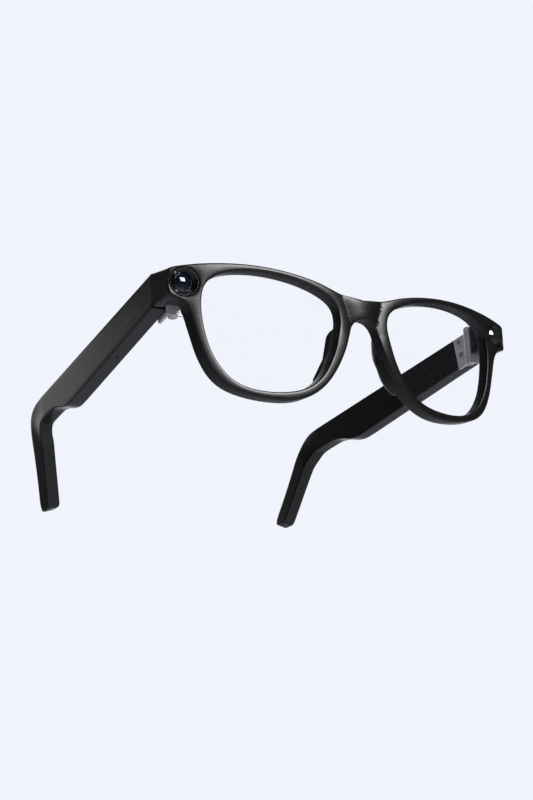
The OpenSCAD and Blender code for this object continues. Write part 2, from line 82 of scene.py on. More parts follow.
@dataclass(frozen=True)
class Finish:
    """One procedural surface finish; colours are linear."""

    name: str
    dark: tuple[float, float, float]
    light: tuple[float, float, float]
    rough: tuple[float, float] = (0.3, 0.4)
    metallic: float = 0.0
    specular: float = 0.5
    coat: float = 0.0
    coat_rough: float = 0.1
    transmission: float = 0.0
    alpha: float = 1.0
    bump: float = 0.02
    scale: float = 900.0
    grain: Grain = Grain.MOULDED

    def material(self) -> bpy.types.Material:
        """Build the material, or fetch it when it exists already.

        Returns:
            The node material for this finish.
        """
        known = bpy.data.materials.get(self.name + "_finish")
        if known:
            return known
        mat = bpy.data.materials.new(self.name + "_finish")
        mat.use_nodes = True
        mat.diffuse_color = (*self.light, 1.0)
        tree = mat.node_tree
        tree.nodes.clear()
        out = tree.nodes.new("ShaderNodeOutputMaterial")
        bsdf = tree.nodes.new("ShaderNodeBsdfPrincipled")
        tree.links.new(bsdf.outputs[0], out.inputs["Surface"])
        fixed = {
            "Metallic": self.metallic,
            "IOR": 1.5,
            "Specular IOR Level": self.specular,
            "Coat Weight": self.coat,
            "Coat Roughness": self.coat_rough,
            "Coat IOR": 1.5,
            "Transmission Weight": self.transmission,
            "Alpha": self.alpha,
            "Anisotropic": 0.0,
            "Sheen Weight": 0.0,
        }
        for socket, value in fixed.items():
            bsdf.inputs[socket].default_value = value
        coords = tree.nodes.new("ShaderNodeTexCoord")
        place = tree.nodes.new("ShaderNodeMapping")
        stretch = (1.0, 0.06, 1.0) if self.grain is Grain.BRUSHED else (1.0, 1.0, 1.0)
        place.inputs["Scale"].default_value = stretch
        tree.links.new(coords.outputs["Object"], place.inputs["Vector"])
        broad = self._noise(tree, place, self.scale * BROAD_SHARE, 3.0)
        fine = self._noise(tree, place, self.scale, 6.0)
        colour_from = self._pattern(tree, place, broad)
        ramp = tree.nodes.new("ShaderNodeValToRGB")
        for end, at, colour in zip(ramp.color_ramp.elements, NOISE_SPAN, (self.dark, self.light)):
            end.position = at
            end.color = (*colour, 1.0)
        tree.links.new(colour_from, ramp.inputs["Fac"])
        tree.links.new(ramp.outputs["Color"], bsdf.inputs["Base Color"])
        spread = tree.nodes.new("ShaderNodeMapRange")
        spread.inputs["From Min"].default_value = NOISE_SPAN[0]
        spread.inputs["From Max"].default_value = NOISE_SPAN[1]
        spread.inputs["To Min"].default_value = self.rough[0]
        spread.inputs["To Max"].default_value = self.rough[1]
        tree.links.new(fine, spread.inputs["Value"])
        tree.links.new(spread.outputs["Result"], bsdf.inputs["Roughness"])
        if self.bump > 0:
            bump = tree.nodes.new("ShaderNodeBump")
            bump.inputs["Strength"].default_value = self.bump
            bump.inputs["Distance"].default_value = BUMP_DEPTH
            tree.links.new(fine, bump.inputs["Height"])
            tree.links.new(bump.outputs["Normal"], bsdf.inputs["Normal"])
        return mat

    @staticmethod
    def _noise(
        tree: bpy.types.NodeTree, place: bpy.types.Node, scale: float, detail: float
    ) -> bpy.types.NodeSocket:
        """Add a noise texture on object coordinates and return its value socket."""
        noise = tree.nodes.new("ShaderNodeTexNoise")
        noise.inputs["Scale"].default_value = scale
        noise.inputs["Detail"].default_value = detail
        tree.links.new(place.outputs["Vector"], noise.inputs["Vector"])
        return noise.outputs["Fac"]

    def _pattern(
        self,
        tree: bpy.types.NodeTree,
        place: bpy.types.Node,
        broad: bpy.types.NodeSocket,
    ) -> bpy.types.NodeSocket:
        """Pick what drives the colour: broad noise, or cells for boards and foils.

        Args:
            tree: The material's node tree.
            place: The mapping node that carries object coordinates.
            broad: The broad noise value, used by plain finishes.

        Returns:
            The socket with the colour factor.
        """
        if self.grain not in (Grain.BOARD, Grain.CELL):
            return broad
        cells = tree.nodes.new("ShaderNodeTexVoronoi")
        cells.distance = "CHEBYCHEV"
        cells.inputs["Scale"].default_value = CELLS[self.grain.value]
        tree.links.new(place.outputs["Vector"], cells.inputs["Vector"])
        mix = tree.nodes.new("ShaderNodeMath")
        mix.operation = "MULTIPLY_ADD"
        mix.inputs[1].default_value = 0.9
        tree.links.new(cells.outputs["Distance"], mix.inputs[0])
        tree.links.new(broad, mix.inputs[2])
        half = tree.nodes.new("ShaderNodeMath")
        half.operation = "MULTIPLY"
        half.inputs[1].default_value = 0.62
        tree.links.new(mix.outputs[0], half.inputs[0])
        return half.outputs[0]


FRAME_BLACK = Finish(
    "frame_black", (0.0046, 0.0046, 0.0047), (0.0062, 0.0062, 0.0063), (0.25, 0.28),
    specular=0.4, bump=0.0, scale=500,
)
COVER_BLACK = replace(FRAME_BLACK, name="cover_black")
PAD_BLACK = Finish(
    "pad_black", (0.0038, 0.0038, 0.0040), (0.0052, 0.0052, 0.0054), (0.28, 0.33),
    specular=0.3, bump=0.006, scale=1600,
)
BEZEL_BLACK = Finish(
    "bezel_black", (0.002, 0.002, 0.0022), (0.0035, 0.0035, 0.0038), (0.2, 0.25),
    specular=0.4, bump=0.004, scale=1600,
)
LENS_CLEAR = Finish(
    "lens_clear", (0.42, 0.45, 0.50), (0.52, 0.55, 0.60), (0.03, 0.06),
    alpha=0.004, bump=0.0, scale=120,
)
CAMERA_GLASS = Finish(
    "camera_glass", (0.80, 0.84, 0.92), (0.9, 0.92, 0.97), (0.0, 0.02),
    transmission=1.0, bump=0.0, scale=300,
)
LENS_COAT = Finish(
    "lens_coat", (0.0015, 0.002, 0.005), (0.003, 0.006, 0.022), (0.05, 0.09),
    coat=0.35, coat_rough=0.03, bump=0.0, scale=900,
)
LIGHT_GLASS = Finish(
    "light_glass", (0.006, 0.006, 0.007), (0.012, 0.012, 0.014), (0.05, 0.1),
    coat=1.0, coat_rough=0.03, bump=0.0, scale=500,
)
BOARD_GREEN = Finish(
    "board_green", (0.008, 0.05, 0.022), (0.03, 0.15, 0.07), (0.3, 0.5),
    bump=0.1, scale=1800, grain=Grain.BOARD,
)
FLEX_AMBER = Finish(
    "flex_amber", (0.36, 0.15, 0.03), (0.55, 0.27, 0.08), (0.3, 0.45),
    bump=0.05, scale=1500, grain=Grain.BOARD,
)
HINGE_STEEL = Finish(
    "hinge_steel", (0.62, 0.62, 0.63), (0.78, 0.78, 0.79), (0.32, 0.42),
    metallic=0.35, bump=0.05, scale=2600, grain=Grain.BRUSHED,
)
SCREW_STEEL = Finish(
    "screw_steel", (0.55, 0.55, 0.56), (0.74, 0.74, 0.75), (0.2, 0.32),
    metallic=1.0, bump=0.04, scale=2600, grain=Grain.BRUSHED,
)
SHIELD_STEEL = Finish(
    "shield_steel", (0.46, 0.46, 0.48), (0.62, 0.62, 0.64), (0.3, 0.45),
    metallic=1.0, bump=0.05, scale=2000, grain=Grain.BRUSHED,
)
CELL_FOIL = Finish(
    "cell_foil", (0.26, 0.29, 0.33), (0.40, 0.43, 0.47), (0.25, 0.4),
    metallic=0.8, bump=0.08, scale=900, grain=Grain.CELL,
)
SPEAKER_BLACK = Finish(
    "speaker_black", (0.02, 0.02, 0.022), (0.035, 0.035, 0.038), (0.5, 0.62),
    bump=0.1, scale=2200,
)
MESH_STEEL = Finish(
    "mesh_steel", (0.2, 0.2, 0.21), (0.34, 0.34, 0.35), (0.35, 0.5),
    metallic=1.0, bump=0.02, scale=3000,
)
STRIP_GREY = Finish(
    "strip_grey", (0.11, 0.11, 0.115), (0.16, 0.16, 0.165), (0.3, 0.4),
    bump=0.02, scale=2600,
)
CONTACT_GOLD = Finish(
    "contact_gold", (0.62, 0.42, 0.14), (0.85, 0.62, 0.26), (0.12, 0.22),
    metallic=1.0, bump=0.01, scale=1800,
)
MAGNET_NICKEL = Finish(
    "magnet_nickel", (0.5, 0.5, 0.52), (0.66, 0.66, 0.68), (0.14, 0.24),
    metallic=1.0, bump=0.01, scale=1800,
)
FLOOR_PALE = Finish(
    "floor_pale", (0.70, 0.71, 0.75), (0.76, 0.77, 0.81), (0.55, 0.7),
    bump=0.02, scale=24,
)
FINISHES = {f.name: f for f in (
    FRAME_BLACK, COVER_BLACK, PAD_BLACK, BEZEL_BLACK, LENS_CLEAR, CAMERA_GLASS, LIGHT_GLASS, BOARD_GREEN,
    FLEX_AMBER, HINGE_STEEL, SCREW_STEEL, SHIELD_STEEL, CELL_FOIL, SPEAKER_BLACK, MESH_STEEL, STRIP_GREY,
    CONTACT_GOLD, MAGNET_NICKEL,
)}


# ---- spaces ------------------------------------------------------------------
@dataclass(frozen=True)
class Spaces:
    """Matrices from the front's and the temple's own space, in millimetres, to the scene."""

    front: Matrix
    temple: Matrix

    @staticmethod
    def from_record(record: dict, hinge: Vector) -> "Spaces":
        """Work the matrices out from the record's joints and mounts.

        Args:
            record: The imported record.
            hinge: The hinge axis at its middle, in the front's own space.

        Returns:
            The two spaces.
        """
        joints = {j["name"]: j for j in record["behaviour"]["joints"]}
        mounts = {m["name"]: m for m in record["mounts"]}
        fold = joints["temple_left_fold"]
        axis = Vector(fold["axis"])
        turn = Matrix.Rotation(math.atan2(-axis.y, axis.z), 4, "X")
        at = Vector(fold["pos_m"])
        front = Matrix.Translation(at) @ turn @ Matrix.Scale(MM, 4) @ Matrix.Translation(-hinge)
        press = Vector(joints["capture_press"]["axis"])
        inward = Vector(mounts["charge_pad"]["axis"])
        across = Vector((inward.x, -inward.y, -inward.z))
        up = Vector((press.x, -press.y, -press.z))
        along = up.cross(across)
        temple = Matrix((across, along, up)).transposed().to_4x4()
        temple = Matrix.Translation(at) @ temple @ Matrix.Scale(MM, 4)
        return Spaces(front, temple)


# ---- curves and meshes ---------------------------------------------------------
def spline(points: Points, steps: int, closed: bool = False) -> np.ndarray:
    """Run a smooth curve through points.

    Args:
        points: Points to pass through.
        steps: Pieces between two points.
        closed: Whether the curve returns to its start.

    Returns:
        The points of the curve, one row each.
    """
    p = np.array(points, float)
    m = len(p)
    out = []
    for i in range(m if closed else m - 1):
        a = p[(i - 1) % m] if closed else p[max(i - 1, 0)]
        d = p[(i + 2) % m] if closed else p[min(i + 2, m - 1)]
        b, c = p[i], p[(i + 1) % m]
        for j in range(steps):
            t = j / steps
            square, cube = 2 * a - 5 * b + 4 * c - d, 3 * b - a - 3 * c + d
            out.append(0.5 * (2 * b + (c - a) * t + square * t * t + cube * t**3))
    if not closed:
        out.append(p[-1])
    return np.array(out)


def resample(loop: np.ndarray, gap: float) -> np.ndarray:
    """Put points at an even gap along a closed loop, keeping sharp corners.

    Args:
        loop: The loop's points.
        gap: Largest distance between neighbours.

    Returns:
        The new loop.
    """
    out = []
    for a, b in zip(loop, np.roll(loop, -1, axis=0)):
        n = max(1, math.ceil(np.linalg.norm(b - a) / gap))
        out.extend(a + (b - a) * k / n for k in range(n))
    return np.array(out)


def grown(loop: np.ndarray, by: float) -> np.ndarray:
    """Move a closed counter-clockwise loop outwards along its normals."""
    t = np.roll(loop, -1, axis=0) - np.roll(loop, 1, axis=0)
    t /= np.maximum(np.linalg.norm(t, axis=1, keepdims=True), 1e-9)
    return loop + by * np.c_[t[:, 1], -t[:, 0]]


def inside(points: np.ndarray, loop: np.ndarray) -> np.ndarray:
    """Tell which points lie inside a closed loop."""
    x, y = points[:, :1], points[:, 1:]
    a, b = loop, np.roll(loop, -1, axis=0)
    crosses = (a[:, 1] > y) != (b[:, 1] > y)
    dy = np.where(np.abs(b[:, 1] - a[:, 1]) < 1e-12, 1e-12, b[:, 1] - a[:, 1])
    at = (b[:, 0] - a[:, 0]) * (y - a[:, 1]) / dy + a[:, 0]
    return (crosses & (x < at)).sum(axis=1) % 2 == 1


def distance(points: np.ndarray, loop: np.ndarray) -> np.ndarray:
    """Give each point's distance to a closed loop."""
    best = np.full(len(points), 1e9)
    for a, b in zip(loop, np.roll(loop, -1, axis=0)):
        d = b - a
        t = np.clip(((points - a) @ d) / max(d @ d, 1e-12), 0, 1)
        best = np.minimum(best, np.linalg.norm(points - a - t[:, None] * d, axis=1))
    return best


def build(
    name: str,
    verts: np.ndarray,
    faces: list,
    finish: Finish,
    space: Matrix,
    mirrored: bool = False,
    sharp: float = 32.0,
) -> bpy.types.Object:
    """Make an object whose mesh is already in place in the scene.

    Args:
        name: Name of the object.
        verts: Corners in millimetres, in the given space.
        faces: Faces as tuples of corner numbers.
        finish: Its finish.
        space: Matrix from that space to the scene.
        mirrored: Whether the piece is mirrored to the other side.
        sharp: Edges that turn by more degrees than this stay crisp.

    Returns:
        The new object, linked to the scene.
    """
    matrix = Matrix.Diagonal((-1, 1, 1, 1)) @ space if mirrored else space
    mesh = bpy.data.meshes.new(name)
    mesh.from_pydata([tuple(v) for v in verts], [], [tuple(f) for f in faces])
    mesh.transform(matrix)
    work = bmesh.new()
    work.from_mesh(mesh)
    bmesh.ops.remove_doubles(work, verts=work.verts, dist=1e-7)
    bmesh.ops.dissolve_degenerate(work, edges=work.edges, dist=1e-8)
    bmesh.ops.recalc_face_normals(work, faces=work.faces)
    work.to_mesh(mesh)
    work.free()
    mesh.materials.append(finish.material())
    mesh.shade_smooth()
    mesh.set_sharp_from_angle(angle=math.radians(sharp))
    obj = bpy.data.objects.new(name, mesh)
    bpy.context.scene.collection.objects.link(obj)
    return obj


def join_shells(shells: list[tuple[np.ndarray, list]]) -> tuple[np.ndarray, list]:
    """Put several closed shells in one list of corners and faces."""
    verts, faces, start = [], [], 0
    for v, f in shells:
        verts.append(v)
        faces.extend(tuple(start + i for i in face) for face in f)
        start += len(v)
    return np.vstack(verts), faces


def loft(rings: list[np.ndarray]) -> tuple[np.ndarray, list]:
    """Skin rings of equal length in order and close both ends with fans."""
    n = len(rings[0])
    verts = [*rings, rings[0].mean(axis=0, keepdims=True), rings[-1].mean(axis=0, keepdims=True)]
    faces = []
    for k in range(len(rings) - 1):
        for i in range(n):
            j = (i + 1) % n
            faces.append((k * n + i, k * n + j, (k + 1) * n + j, (k + 1) * n + i))
    first, last, top = len(rings) * n, len(rings) * n + 1, (len(rings) - 1) * n
    for i in range(n):
        j = (i + 1) % n
        faces.append((first, j, i))
        faces.append((last, top + i, top + j))
    return np.vstack(verts), faces


def lathe(profile: Points, sides: int) -> tuple[np.ndarray, list]:
    """Turn an open profile of (radius, depth) about the y axis; radius 0 makes a pole."""
    rings = []
    for r, y in profile:
        a = np.arange(sides) * 2 * math.pi / sides
        rings.append(np.c_[r * np.cos(a), np.full(sides, y), r * np.sin(a)])
    return loft(rings)


def tree_object(
    name: str,
    tree: bpy.types.NodeTree,
    base: bpy.types.Mesh,
    values: dict[str, float],
    space: Matrix,
    mirrored: bool,
) -> bpy.types.Object:
    """Run a Geometry Nodes tree once and keep its result as a plain mesh.

    Args:
        name: Name of the object.
        tree: The node tree.
        base: The mesh that the tree starts from.
        values: Input names and their values.
        space: Matrix from the tree's space, in millimetres, to the scene.
        mirrored: Whether the result is mirrored to the other side.

    Returns:
        The object with the finished mesh.
    """
    obj = bpy.data.objects.new(name, base)
    bpy.context.scene.collection.objects.link(obj)
    mod = obj.modifiers.new("build", "NODES")
    mod.node_group = tree
    for item in tree.interface.items_tree:
        if item.item_type == "SOCKET" and item.in_out == "INPUT" and item.name in values:
            mod[item.identifier] = values[item.name]
    bpy.context.view_layer.update()
    done = obj.evaluated_get(bpy.context.evaluated_depsgraph_get())
    mesh = bpy.data.meshes.new_from_object(done)
    obj.modifiers.clear()
    obj.data = mesh
    mesh.transform(Matrix.Diagonal((-1, 1, 1, 1)) @ space if mirrored else space)
    if mirrored:
        mesh.flip_normals()
    mesh.shade_smooth()
    mesh.set_sharp_from_angle(angle=math.radians(30))
    return obj


class TreeMaker:
    """Small helper that builds a Geometry Nodes tree step by step."""

    def __init__(self, name: str, inputs: dict[str, float]) -> None:
        """Open a tree with a geometry input and named number inputs."""
        self.tree = bpy.data.node_groups.new(name, "GeometryNodeTree")
        face = self.tree.interface
        face.new_socket("Geometry", in_out="INPUT", socket_type="NodeSocketGeometry")
        for key, value in inputs.items():
            face.new_socket(key, in_out="INPUT", socket_type="NodeSocketFloat").default_value = value
        face.new_socket("Geometry", in_out="OUTPUT", socket_type="NodeSocketGeometry")
        self.start = self.tree.nodes.new("NodeGroupInput")
        self.end = self.tree.nodes.new("NodeGroupOutput")

    def node(self, kind: str, **links: object) -> bpy.types.Node:
        """Add a node; a keyword gives a socket's value or what it is linked to."""
        node = self.tree.nodes.new(kind)
        for key, value in links.items():
            numbered = key[0] == "i" and key[1:].isdigit()
            socket = node.inputs[int(key[1:]) if numbered else key.replace("_", " ")]
            if isinstance(value, bpy.types.NodeSocket):
                self.tree.links.new(value, socket)
            else:
                socket.default_value = value
        return node

    def value(self, key: str) -> bpy.types.NodeSocket:
        """Return the socket of a named input."""
        return self.start.outputs[key]

    def cylinder(self, sides: int, radius: object, depth: object) -> bpy.types.Node:
        """Add a cylinder mesh along Z."""
        return self.node("GeometryNodeMeshCylinder", Vertices=sides, Radius=radius, Depth=depth)

    def moved(self, mesh: bpy.types.Node, by: bpy.types.NodeSocket) -> bpy.types.Node:
        """Add a node that shifts a mesh node's result."""
        return self.node("GeometryNodeTransform", Geometry=mesh.outputs["Mesh"], Translation=by)

    def vector(self, z: object, x: object = 0.0, y: object = 0.0) -> bpy.types.NodeSocket:
        """Return a vector socket made from three values or sockets."""
        return self.node("ShaderNodeCombineXYZ", X=x, Y=y, Z=z).outputs[0]

    def scaled(self, value: bpy.types.NodeSocket, by: float) -> bpy.types.NodeSocket:
        """Return a socket multiplied by a number."""
        math_node = self.node("ShaderNodeMath", i0=value, i1=by)
        math_node.operation = "MULTIPLY"
        return math_node.outputs[0]

    def finish(self, geometry: bpy.types.NodeSocket, material: bpy.types.Material) -> bpy.types.NodeTree:
        """End the tree with realised instances and a material."""
        real = self.node("GeometryNodeRealizeInstances", Geometry=geometry)
        dressed = self.node("GeometryNodeSetMaterial", Geometry=real.outputs[0])
        dressed.inputs["Material"].default_value = material
        self.tree.links.new(dressed.outputs[0], self.end.inputs["Geometry"])
        return self.tree


def screw_tree() -> bpy.types.NodeTree:
    """Build the tree that puts a slotted screw on every point, head towards +Z."""
    m = TreeMaker("screws", {
        "Shank radius": 0.5, "Shank length": 4.0, "Head radius": 0.9, "Head height": 0.4, "Slot width": 0.24,
    })
    length, height = m.value("Shank length"), m.value("Head height")
    shank = m.moved(m.cylinder(20, m.value("Shank radius"), length), m.vector(m.scaled(length, -0.5)))
    head = m.moved(m.cylinder(36, m.value("Head radius"), height), m.vector(m.scaled(height, 0.5)))
    across = m.scaled(m.value("Head radius"), 2.4)
    slot = m.node("GeometryNodeMeshCube", Size=m.vector(height, x=m.value("Slot width"), y=across))
    slot = m.moved(slot, m.vector(height))
    cut = m.tree.nodes.new("GeometryNodeMeshBoolean")
    cut.operation = "DIFFERENCE"
    cut.solver = "EXACT"
    m.tree.links.new(head.outputs[0], cut.inputs["Mesh 1"])
    m.tree.links.new(slot.outputs[0], cut.inputs["Mesh 2"])
    join = m.tree.nodes.new("GeometryNodeJoinGeometry")
    m.tree.links.new(cut.outputs["Mesh"], join.inputs[0])
    m.tree.links.new(shank.outputs[0], join.inputs[0])
    spread = m.node("GeometryNodeInstanceOnPoints", Points=m.value("Geometry"), Instance=join.outputs[0])
    return m.finish(spread.outputs[0], SCREW_STEEL.material())


def weave_tree() -> bpy.types.NodeTree:
    """Build the tree that makes a mesh of two crossing layers of wires, length along Y and height along Z."""
    m = TreeMaker("speaker_weave", {"Length": 8.0, "Height": 5.6, "Pitch": 0.4, "Wire": 0.06})
    join = m.tree.nodes.new("GeometryNodeJoinGeometry")
    upright, lying = (0, 0, 0), (math.pi / 2, 0, 0)
    layers = ("Length", "Height", lying, -1.0), ("Height", "Length", upright, 1.0)
    for long_key, cross_key, turn, shift in layers:
        wire = m.cylinder(6, m.value("Wire"), m.value(long_key))
        count = m.node("ShaderNodeMath", i0=m.value(cross_key), i1=m.value("Pitch"))
        count.operation = "DIVIDE"
        half, aside = m.scaled(m.value(cross_key), -0.5), m.scaled(m.value("Wire"), shift)
        if cross_key == "Height":
            step, start = m.vector(m.value("Pitch")), m.vector(half, x=aside)
        else:
            step, start = m.vector(0.0, y=m.value("Pitch")), m.vector(0.0, x=aside, y=half)
        line = m.node("GeometryNodeMeshLine", Count=count.outputs[0], Start_Location=start, Offset=step)
        spread = m.node(
            "GeometryNodeInstanceOnPoints", Points=line.outputs[0], Instance=wire.outputs["Mesh"],
            Rotation=turn)
        m.tree.links.new(spread.outputs[0], join.inputs[0])
    return m.finish(join.outputs[0], MESH_STEEL.material())


# ---- the front -----------------------------------------------------------------
@dataclass
class Front:
    """The wrapped front: its shell with the endpieces, the rear cover and the lenses."""

    space: Matrix
    width: float = 148.0
    wrap: float = 300.0
    depth: float = 5.0
    cover: float = 0.95
    end_depth: float = 21.0
    wall_start: float = 9.85
    block_in: float = 63.5
    cover_in: float = 63.4
    cover_under: float = 29.75
    dip: float = 0.85
    end_low: float = 32.85
    end_high: float = 44.75
    side: float = 4.0
    eye: tuple[float, float, float] = (-68.4, 38.6, 5.0)
    light: tuple[float, float, float] = (69.0, 38.6, 4.3)
    edge: float = 0.5
    grid: float = 1.3
    top: Points = field(default_factory=lambda: [
        (0, 40.1), (9.5, 41.4), (19, 44.1), (29, 46), (40, 47), (51, 46.9), (62, 45.8), (70, 44.3),
        (73, 43.4)])
    low: Points = field(default_factory=lambda: [
        (73.5, 33.5), (71, 32.8), (68.6, 31), (66.9, 28), (65.2, 22.4), (62.5, 14), (58.8, 7.4), (53.6, 3.2),
        (45.6, 0.8), (36, 0), (28, 0.9), (21.4, 3.8), (16, 8.4), (11.6, 14.6), (8.4, 21), (6.3, 26.6),
        (4.8, 30.2), (2.6, 32.3), (0, 33)])
    hole: Points = field(default_factory=lambda: [
        (37, 44.6), (26, 43.1), (17, 40.2), (12, 36.7), (10.5, 31.8), (11.6, 25.4), (14, 18), (18.8, 10),
        (26, 4.9), (36, 2.9), (46, 3.5), (53.2, 6.8), (58.6, 13.6), (61.5, 22), (62.6, 31), (61.2, 38.2),
        (56, 42.4), (47.4, 44.4)])
    crease: tuple[float, float, float, float] = (8.75, 41.2, 5.5, 31.2)

    def __post_init__(self) -> None:
        """Work the loops out once."""
        side = self.width / 2 - 0.04
        half = np.vstack([spline(self.top, 8), [(side, 42.6), (side, 34.0)], spline(self.low, 6)])
        left = half[1:-1][::-1] * (-1, 1)
        self.outline = resample(np.vstack([half, left])[::-1], 0.8)
        loop = resample(spline(self.hole, 10, closed=True), 0.7)
        self.openings = [loop, (loop * (-1, 1))[::-1]]
        a = np.arange(56) * 2 * math.pi / 56
        self.eyes = [np.c_[x + r * np.cos(a), z + r * np.sin(a)] for x, z, r in (self.eye, self.light)]

    def wrap_y(self, x: np.ndarray, inset: float = 0.0) -> np.ndarray:
        """Depth of the wrapped surface that lies a given way behind the front face."""
        r = self.wrap - inset
        return self.wrap - np.sqrt(r * r - np.asarray(x) ** 2)

    def half_crease(self, z: np.ndarray) -> np.ndarray:
        """Half width of the bridge between its creases at a height."""
        w1, z1, w0, z0 = self.crease
        return w0 + (w1 - w0) * (z - z0) / (z1 - z0)

    def face_y(self, p: np.ndarray) -> np.ndarray:
        """Depth of the front face with the bridge's creases, before its edges are rounded."""
        x, z = np.abs(p[:, 0]), p[:, 1]
        c = self.half_crease(z)
        s = np.clip(x / c, 0, 1)
        dip = self.dip * np.where(x < c, s**2, np.exp(-np.maximum(x - c, 0) / 4.5))
        fade = np.clip((z - 20) / 8, 0, 1)
        return self.wrap_y(p[:, 0]) + dip * fade

    def plate(
        self, keep, loops: list[np.ndarray], lines: list[Points], front, back, steps: list[float]
    ) -> tuple[np.ndarray, list]:
        """Make a closed plate over a flat region.

        Args:
            keep: Tells which flat points belong to the region.
            loops: Closed loops that bound it.
            lines: Further lines that the mesh has to follow.
            front: Gives the front depth of flat points from the points and their distance to the edge.
            back: Gives the back depth in the same way.
            steps: Distances from the edge where the mesh follows the edge.

        Returns:
            Corners and faces.
        """
        verts, edges = [], []

        def add(points: np.ndarray, closed: bool) -> None:
            start = len(verts)
            verts.extend(Vector(p) for p in points)
            n = len(points)
            edges.extend((start + i, start + (i + 1) % n) for i in range(n if closed else n - 1))

        for loop in loops:
            add(loop, True)
            for step in steps:
                for way in (1, -1):
                    ring = grown(loop, way * step)
                    away = np.min([distance(ring, other) for other in loops], axis=0)
                    mid = keep(ring) & (away > step * 0.9)
                    start = len(verts)
                    verts.extend(Vector(p) for p in ring)
                    n = len(ring)
                    both = [i for i in range(n) if mid[i] and mid[(i + 1) % n]]
                    edges.extend((start + i, start + (i + 1) % n) for i in both)
        for line in lines:
            add(np.array(line, float), False)
        low, high = loops[0].min(axis=0), loops[0].max(axis=0)
        across, upward = np.arange(low[0], high[0], self.grid), np.arange(low[1], high[1], self.grid * 0.87)
        gx, gz = np.meshgrid(across, upward)
        gx[1::2] += self.grid / 2
        cells = np.c_[gx.ravel(), gz.ravel()]
        cells = cells[keep(cells)]
        near = np.min([distance(cells, loop) for loop in loops], axis=0)
        verts.extend(Vector(p) for p in cells[near > max(steps) + self.grid * 0.45])
        out = delaunay_2d_cdt(verts, edges, [], 0, 1e-5)
        flat = np.array([(v.x, v.y) for v in out[0]])
        tris = np.array(out[2])
        tris = tris[keep(flat[tris].mean(axis=1))]
        used, tris = np.unique(tris, return_inverse=True)
        flat, tris = flat[used], tris.reshape(-1, 3)
        d = np.min([distance(flat, loop) for loop in loops], axis=0)
        yf, yb = front(flat, d), back(flat, d)
        n = len(flat)
        a, b, c = flat[tris[:, 0]], flat[tris[:, 1]], flat[tris[:, 2]]
        turn = (b - a)[:, 0] * (c - a)[:, 1] - (b - a)[:, 1] * (c - a)[:, 0]
        tris[turn < 0] = tris[turn < 0][:, ::-1]
        tris = tris[np.abs(turn) > 1e-9]
        seen = {}
        for t in tris:
            for i in range(3):
                seen[(int(t[i]), int(t[(i + 1) % 3]))] = True
        rim = [e for e in seen if (e[1], e[0]) not in seen]
        corners = np.vstack([np.c_[flat[:, 0], yf, flat[:, 1]], np.c_[flat[:, 0], yb, flat[:, 1]]])
        faces = [tuple(int(i) for i in t) for t in tris]
        faces += [tuple(int(i) + n for i in t[::-1]) for t in tris]
        faces += [(q, p, p + n, q + n) for p, q in rim]
        return corners, faces

    def rounded(self, d: np.ndarray, r: float) -> np.ndarray:
        """How far an edge of a given radius has fallen away at a distance from it."""
        t = np.clip(1 - d / r, 0, 1)
        return r * (1 - np.sqrt(np.maximum(1 - t * t, 0)))

    def endpieces(self) -> list[tuple[np.ndarray, list]]:
        """Build the side walls and blocks that lead back to the temples.

        Returns:
            Closed shells for both sides.
        """
        half = self.width / 2
        inner = half - self.side
        first = [
            (inner, 44.15), (inner + 1.5, 43.85), (73.0, 43.38), (half - 0.35, 42.95), (half, 42.55),
            (half, 40), (half, 37), (half, 34.05), (half - 0.3, 33.65), (73.0, 33.25),
            (inner + 1.5, 32.95), (inner, 32.9), (inner, 36), (inner, 41)]
        hi, lo = self.end_high, self.end_low
        last = [
            (inner, hi), (inner + 1.6, hi), (half - 1.0, hi), (half - 0.25, hi - 0.28), (half, hi - 1.05),
            (half, 41), (half, 37), (half, lo + 0.9), (half - 0.25, lo + 0.24), (half - 0.95, lo),
            (inner + 1.5, lo), (inner, lo), (inner, 36), (inner, 41)]
        a, b = np.array(first, float), np.array(last, float)
        start, run = self.wall_start, self.end_depth - self.wall_start
        depths = np.linspace(start, self.end_depth, 12)
        wall = loft([at_depth(a + (b - a) * (y - start) / run, y) for y in depths])
        section = rounded_rect(self.block_in, inner + 0.4, self.end_low + 0.05, 44.2, 0.6, 3)
        levels = ((11.4, 0.0), (14.0, 0.0), (16.8, 0.0), (17.3, 0.12), (17.6, 0.5))
        block = loft([at_depth(shrink(section, inset), y) for y, inset in levels])
        shells = [wall, block]
        return shells + [(v * (-1, 1, 1), f) for v, f in shells]

    def make(self) -> dict[str, bpy.types.Object]:
        """Build the shell, the rear cover and both lenses.

        Returns:
            The objects by the name of the CAD node they stand for.
        """
        loops = [self.outline, *self.openings]

        def body(p: np.ndarray) -> np.ndarray:
            keep = inside(p, self.outline)
            for loop in self.openings:
                keep &= ~inside(p, loop)
            return keep

        def shell(p: np.ndarray) -> np.ndarray:
            keep = body(p)
            for loop in self.eyes:
                keep &= ~inside(p, loop)
            return keep

        def covered(p: np.ndarray) -> np.ndarray:
            return body(p) & ~((np.abs(p[:, 0]) > self.cover_in) & (p[:, 1] > self.cover_under))

        creases = []
        for way in (-1, 1):
            z = np.linspace(22, 43, 30)
            creases.append(list(zip(way * self.half_crease(z), z)))
        layer = self.depth - self.cover

        def face(p: np.ndarray, d: np.ndarray) -> np.ndarray:
            eye = np.min([distance(p, e) for e in self.eyes], axis=0)
            edge = self.rounded(d, self.edge) + 0.16 * np.clip(1 - d / 2.2, 0, 1) ** 2
            return self.face_y(p) + edge + self.rounded(eye, 0.22)

